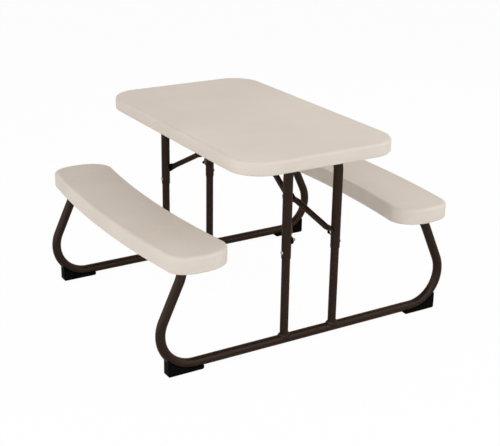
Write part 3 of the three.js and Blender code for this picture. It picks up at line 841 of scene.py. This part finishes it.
def brace_arm(bolt, knee, leg_x, knee_x):
    """An arm from its bolt to the knee. One face of it lies at leg_x, the other at knee_x."""
    along = (knee - bolt).normalized()
    up = Vector((1, 0, 0)).cross(along)
    length = (knee - bolt).length
    side = math.copysign(1, leg_x)
    pressed = TAB_FLAT + TAB_PRESS
    spread = (abs(leg_x - knee_x) - BRACE) / (length - 2 * pressed)
    depth = BRACE * math.hypot(1, spread)
    tip = TAB_WIDTH / 2
    tip_angles = [math.pi / 2 * (i + 0.5) / TIP_STEPS for i in range(TIP_STEPS)]
    first_half = [-tip * math.cos(a) for a in tip_angles] + [0.0]
    first_half += [TAB_FLAT + TAB_PRESS * i / PRESS_STEPS for i in range(PRESS_STEPS + 1)]
    rings = []
    for s in first_half + [length - s for s in first_half[::-1]]:
        from_end = min(s, length - s)
        roundness = eased(from_end, TAB_FLAT, pressed)
        half_wide = tip + (BRACE / 2 - tip) * roundness
        if from_end < 0:
            half_wide = math.sqrt(tip**2 - from_end**2)
        thickness = TAB + (depth - TAB) * roundness
        x = leg_x - side * thickness / 2 if s < length / 2 else knee_x + side * thickness / 2
        centre = bolt + along * s + Vector((x, 0, 0))
        section = pressed_section(thickness / 2, half_wide, roundness)
        rings.append([centre + Vector((across, 0, 0)) + up * high for across, high in section])
    return loft(rings)


def rivet(node):
    """A rivet through the end of an arm, with its head on the outer side."""
    start, axis, length = across_leg(node)
    seat = length - PIN_HEAD_HEIGHT
    shank = [(0, BRACE_PIN / 2), (seat, BRACE_PIN / 2), (seat, PIN_HEAD / 2)]
    head = dome(seat + RIVET_RIM, PIN_HEAD_HEIGHT - RIVET_RIM, PIN_HEAD / 2)
    return turned(shank + head, start, axis)


for end_name in ENDS:
    knee = middle(f"{end_name}_knee_pin")
    for side_name in SIDES:
        node = f"{end_name}_{side_name}_brace_arm"
        low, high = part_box(node)
        knee_x, leg_x = sorted((low.x, high.x), key=abs)
        bolt_low, bolt_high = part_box(f"{end_name}_{side_name}_arm_bolt")
        bolt = (bolt_low + bolt_high) / 2
        arm = mesh_of(brace_arm(Vector((0, bolt.y, bolt.z)), knee, leg_x, knee_x))
        bore = mesh_of(cross_bar(bolt_low.x, bolt_high.x, bolt, BOLT_BORE, PIN_EDGE))
        dress(node, worked(arm, tool=bore), painted)
        node = f"{end_name}_{side_name}_knee_rivet"
        dress(node, mesh_of(rivet(node)), plated)


# Pivot straps. Bent steel strips that hold each crossbar up against the tabletop and let it turn.
# Each is stamped from sheet, coated like the tubes, and screwed down through both its flanges.
STRAP = 0.002
STRAP_EDGE = 0.0005
STRAP_ARC_STEPS = 28
STRAP_CLEARANCE = 0.0003


def strap_outline(low, high, pivot):
    """The strip seen from its side: two flanges and a half ring under the crossbar."""
    inner = TUBE / 2 + STRAP_CLEARANCE
    outer = inner + STRAP
    flange = (high.y - low.y) / 2
    seat = high.z - STRAP
    inner_arc = arc((0, pivot.z), inner, 0, -math.pi, STRAP_ARC_STEPS)
    outer_arc = arc((0, pivot.z), outer, -math.pi, 0, STRAP_ARC_STEPS)
    upper = [(flange, seat), (flange, high.z), (inner, high.z), *inner_arc, (-inner, high.z)]
    lower = [(-flange, high.z), (-flange, seat), (-outer, seat), *outer_arc, (outer, seat)]
    return [Vector((low.x, pivot.y + across, up)) for across, up in upper + lower]


for end_name, end in ENDS.items():
    for side_name in SIDES:
        node = f"{end_name}_{side_name}_pivot_strap"
        low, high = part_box(node)
        pivot = Vector((0, end * frame_y, pivot_z))
        strap = mesh_of(prism(strap_outline(low, high, pivot), Vector((high.x - low.x, 0, 0))))
        dress(node, worked(strap, STRAP_EDGE), painted)


# Centre bracket and stem pins. A folded steel plate under the middle of the tabletop has two
# cheeks, and the two pins that the brace stems turn on pass through both of them.
BRACKET_SHEET = 0.0025
BRACKET_CORNER = 0.006
BRACKET_EDGE = 0.0005
CHEEK_STEPS = 12

low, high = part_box("center_bracket")
plate_z = high.z - BRACKET_SHEET
corners = [(low.x, low.y), (high.x, low.y), (high.x, high.y), (low.x, high.y)]
corners = [(low.x, 0), *corners, (low.x, 0)]
plate_line = bent_line([Vector((x, y, plate_z)) for x, y in corners], [BRACKET_CORNER] * 4)
plate_outline = [point for point, _ in plate_line[:-1]]
bracket = worked(mesh_of(prism(plate_outline, Vector((0, 0, BRACKET_SHEET)))), BRACKET_EDGE)
pins = {end_name: middle(f"{end_name}_stem_pin") for end_name in ENDS}
cheek_radius = pins["far"].z - low.z
cheek_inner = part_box("far_brace_stem")[1].x + PIN_CLEARANCE
cheek_high = high.z - BRACKET_SHEET / 2
near_pin, far_pin = [(place.y, place.z) for place in pins.values()]
near_round = arc(near_pin, cheek_radius, math.pi, 1.5 * math.pi, CHEEK_STEPS)
far_round = arc(far_pin, cheek_radius, 1.5 * math.pi, 2 * math.pi, CHEEK_STEPS)
cheek = [(far_round[-1][0], cheek_high), (near_round[0][0], cheek_high), *near_round, *far_round]
for side in SIDES.values():
    outline = [Vector((side * cheek_inner, y, z)) for y, z in cheek]
    wall = worked(mesh_of(prism(outline, Vector((side * BRACKET_SHEET, 0, 0)))), BRACKET_EDGE)
    bracket = worked(bracket, tool=wall, operation="UNION")
dress("center_bracket", bracket, painted)

for end_name, place in pins.items():
    low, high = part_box(f"{end_name}_stem_pin")
    length = high.x - low.x
    head = dome(0, PIN_HEAD_HEIGHT - RIVET_RIM, PIN_HEAD / 2)
    head_end = [(PIN_HEAD_HEIGHT - RIVET_RIM - along, radius) for along, radius in head[::-1]]
    first = [*head_end, (PIN_HEAD_HEIGHT, PIN_HEAD / 2), (PIN_HEAD_HEIGHT, BRACE_PIN / 2)]
    profile = first + [(length - along, radius) for along, radius in first[::-1]]
    pin = turned(profile, Vector((low.x, place.y, place.z)), Vector((1, 0, 0)))
    dress(f"{end_name}_stem_pin", mesh_of(pin), plated)


# Tabletop. One blow-moulded board like the benches, with round corners, a rolled edge and a deep
# skirt. Its underside has a field of kiss-offs, left out where the straps and bracket are screwed.
TOP_PANEL = 0.022
TOP_CORNER = 0.088
TOP_ROLL = 0.009
TOP_CORNER_STEPS = 20
TOP_KISS_OFF_ROWS = 9
TOP_KISS_OFF_COLUMNS = 15
TOP_KISS_OFF_ACROSS = 0.046
TOP_KISS_OFF_ALONG = 0.049
TOP_BLOW_HOLE_X = 0.066
PAD_MARGIN = 0.012

top_low, top_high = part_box("tabletop")
top_under = top_high.z - TOP_PANEL


def top_outline(inset):
    """A rectangle with round corners."""
    x, y, r = top_high.x - inset, top_high.y - inset, TOP_CORNER - inset
    points = []
    for i, (side, end) in enumerate(((1, 1), (-1, 1), (-1, -1), (1, -1))):
        start = i * math.pi / 2
        centre = (side * (x - r), end * (y - r))
        points += arc(centre, r, start, start + math.pi / 2, TOP_CORNER_STEPS)
    return points


pads = [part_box("center_bracket")]
pads += [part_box(f"{end_name}_{side_name}_pivot_strap") for end_name in ENDS for side_name in SIDES]


def on_pad(x, y):
    """Whether a pit here would lie under a strap or the bracket."""
    reach_x = KISS_OFF_WIDTH + PAD_MARGIN
    reach_y = KISS_OFF_LENGTH + PAD_MARGIN
    return any(low.x - reach_x < x < high.x + reach_x and low.y - reach_y < y < high.y + reach_y
               for low, high in pads)


pits = [blow_hole(TOP_BLOW_HOLE_X, 0, top_under)]
for row in range(TOP_KISS_OFF_ROWS):
    for column in range(TOP_KISS_OFF_COLUMNS - row % 2):
        x = (row - (TOP_KISS_OFF_ROWS - 1) / 2) * TOP_KISS_OFF_ACROSS
        y = (column - (TOP_KISS_OFF_COLUMNS - 1 - row % 2) / 2) * TOP_KISS_OFF_ALONG
        if not on_pad(x, y) and math.hypot(x - TOP_BLOW_HOLE_X, y) > KISS_OFF_LENGTH:
            pits.append(kiss_off(x, y, top_under))
profile = board_profile(top_low.z, top_high.z, TOP_PANEL, TOP_ROLL)
dress("tabletop", moulded_board(top_outline, profile, pits), almond)


# Floor, light and camera. A wide pale floor in a white surround that is darker overhead, soft
# lights on all sides with the strongest in front, and a product view from the near left corner.
FLOOR_SIZE = 30
FLOOR_DROP = 0.0002  # keeps the floor clear of the soles
FLOOR_WHITE = (0.90, 0.90, 0.90, 1)
FLOOR_ROUGHNESS = 0.9
FLOOR_FADE = 0.97
FLOOR_MIRROR_FADE = 0.35
SURROUND_LIGHT = 0.27
SURROUND_WARM = (1.0, 0.910, 0.820, 1)
OVERHEAD_RANGE = (0.45, 0.90)
OVERHEAD_DARK = 0.85
BACKDROP_WHITE = (1, 1, 1, 1)
CAMERA_PLACE = Vector((-1.5003, -2.4937, 1.3269))
CAMERA_AIM = Vector((-0.0409, -0.1004, 0.2581))
CAMERA_ROLL = math.radians(0.932)
CAMERA_LENS = 78.6
LAMP_AIM = Vector((0, 0, 0.4))
LAMP_SIZE = 2.4
LAMP_COOL = (0.93, 0.98, 1.0)
LAMP_WARM = (1.0, 0.94, 0.865)
LAMPS = {
    "left_softbox": (Vector((-2.20, 0.20, 1.00)), 26.0, LAMP_COOL),
    "front_left_softbox": (Vector((-1.86, -2.14, 1.98)), 21.0, LAMP_COOL),
    "front_softbox": (Vector((0.30, -2.80, 1.60)), 32.0, LAMP_COOL),
    "right_softbox": (Vector((2.50, -1.20, 2.00)), 33.0, LAMP_COOL),
    "back_softbox": (Vector((1.80, 1.80, 2.20)), 7.5, LAMP_WARM),
    "overhead_softbox": (Vector((0, 0, 2.80)), 12.5, LAMP_WARM),
}


def ray_kind(shade, kind):
    """1 for rays of one kind, 0 for others."""
    return shade.node("ShaderNodeLightPath", out=f"Is {kind} Ray")


def mirrored(shade):
    """1 for rays that a surface has mirrored or refracted, 0 for others."""
    return ray_kind(shade, "Glossy") + ray_kind(shade, "Transmission")


def floor_material():
    constants = {"Base Color": FLOOR_WHITE, "Roughness": FLOOR_ROUGHNESS}
    material, shader, place = surface_finish("pale_floor", constants)
    output = material.node_tree.nodes["Material Output"].inputs["Surface"]
    lit = Shade(material.node_tree, output.links[0].from_socket)
    glow = place.node("ShaderNodeEmission", None, {"Color": BACKDROP_WHITE, "Strength": 1.0})
    fade = FLOOR_FADE * ray_kind(place, "Camera") + FLOOR_MIRROR_FADE * mirrored(place)
    place.feed(output, place.node("ShaderNodeMixShader", None, {0: fade, 1: lit, 2: glow}))
    return material


half = FLOOR_SIZE / 2
floor_plan = ((-half, -half), (half, -half), (half, half), (-half, half))
floor_corners = [Vector((x, y, -FLOOR_DROP)) for x, y in floor_plan]
floor_mesh = bpy.data.meshes.new("floor")
floor_mesh.from_pydata(floor_corners, [], [(0, 1, 2, 3)])
floor_mesh.materials.append(floor_material())
floor = bpy.data.objects.new("floor", floor_mesh)
bpy.context.scene.collection.objects.link(floor)

world = bpy.data.worlds.new("white_surround")
bpy.context.scene.world = world
world.use_nodes = True
sky = Shade(world.node_tree)
direction = sky.node("ShaderNodeTexCoord", out="Generated")
height = sky.node("ShaderNodeSeparateXYZ", None, {"Vector": direction}, "Z")
overhead = height.between(*OVERHEAD_RANGE)
camera_ray = ray_kind(sky, "Camera")
mirror_ray = mirrored(sky)
seen = camera_ray + mirror_ray * (1 - OVERHEAD_DARK * overhead)
fill = sky.node("ShaderNodeBackground", None, {"Color": SURROUND_WARM, "Strength": SURROUND_LIGHT})
backdrop = sky.node("ShaderNodeBackground", None, {"Color": BACKDROP_WHITE, "Strength": seen})
mixed = sky.node("ShaderNodeMixShader", None, {0: camera_ray + mirror_ray, 1: fill, 2: backdrop})
sky.feed(world.node_tree.nodes["World Output"].inputs["Surface"], mixed)

for name, (place, power, colour) in LAMPS.items():
    lamp = bpy.data.lights.new(name, "AREA")
    lamp.size = LAMP_SIZE
    lamp.energy = power
    lamp.color = colour
    stand = bpy.data.objects.new(name, lamp)
    stand.location = place
    stand.rotation_euler = (LAMP_AIM - place).to_track_quat("-Z", "Y").to_euler()
    bpy.context.scene.collection.objects.link(stand)

lens = bpy.data.cameras.new("product_view")
lens.lens = CAMERA_LENS
camera = bpy.data.objects.new("product_view", lens)
camera.location = CAMERA_PLACE
level = (CAMERA_AIM - CAMERA_PLACE).to_track_quat("-Z", "Y").to_matrix()
camera.rotation_euler = (level @ Matrix.Rotation(CAMERA_ROLL, 3, "Z")).to_euler()
bpy.context.scene.collection.objects.link(camera)
bpy.context.scene.camera = camera
bpy.context.scene.view_settings.view_transform = "Standard"
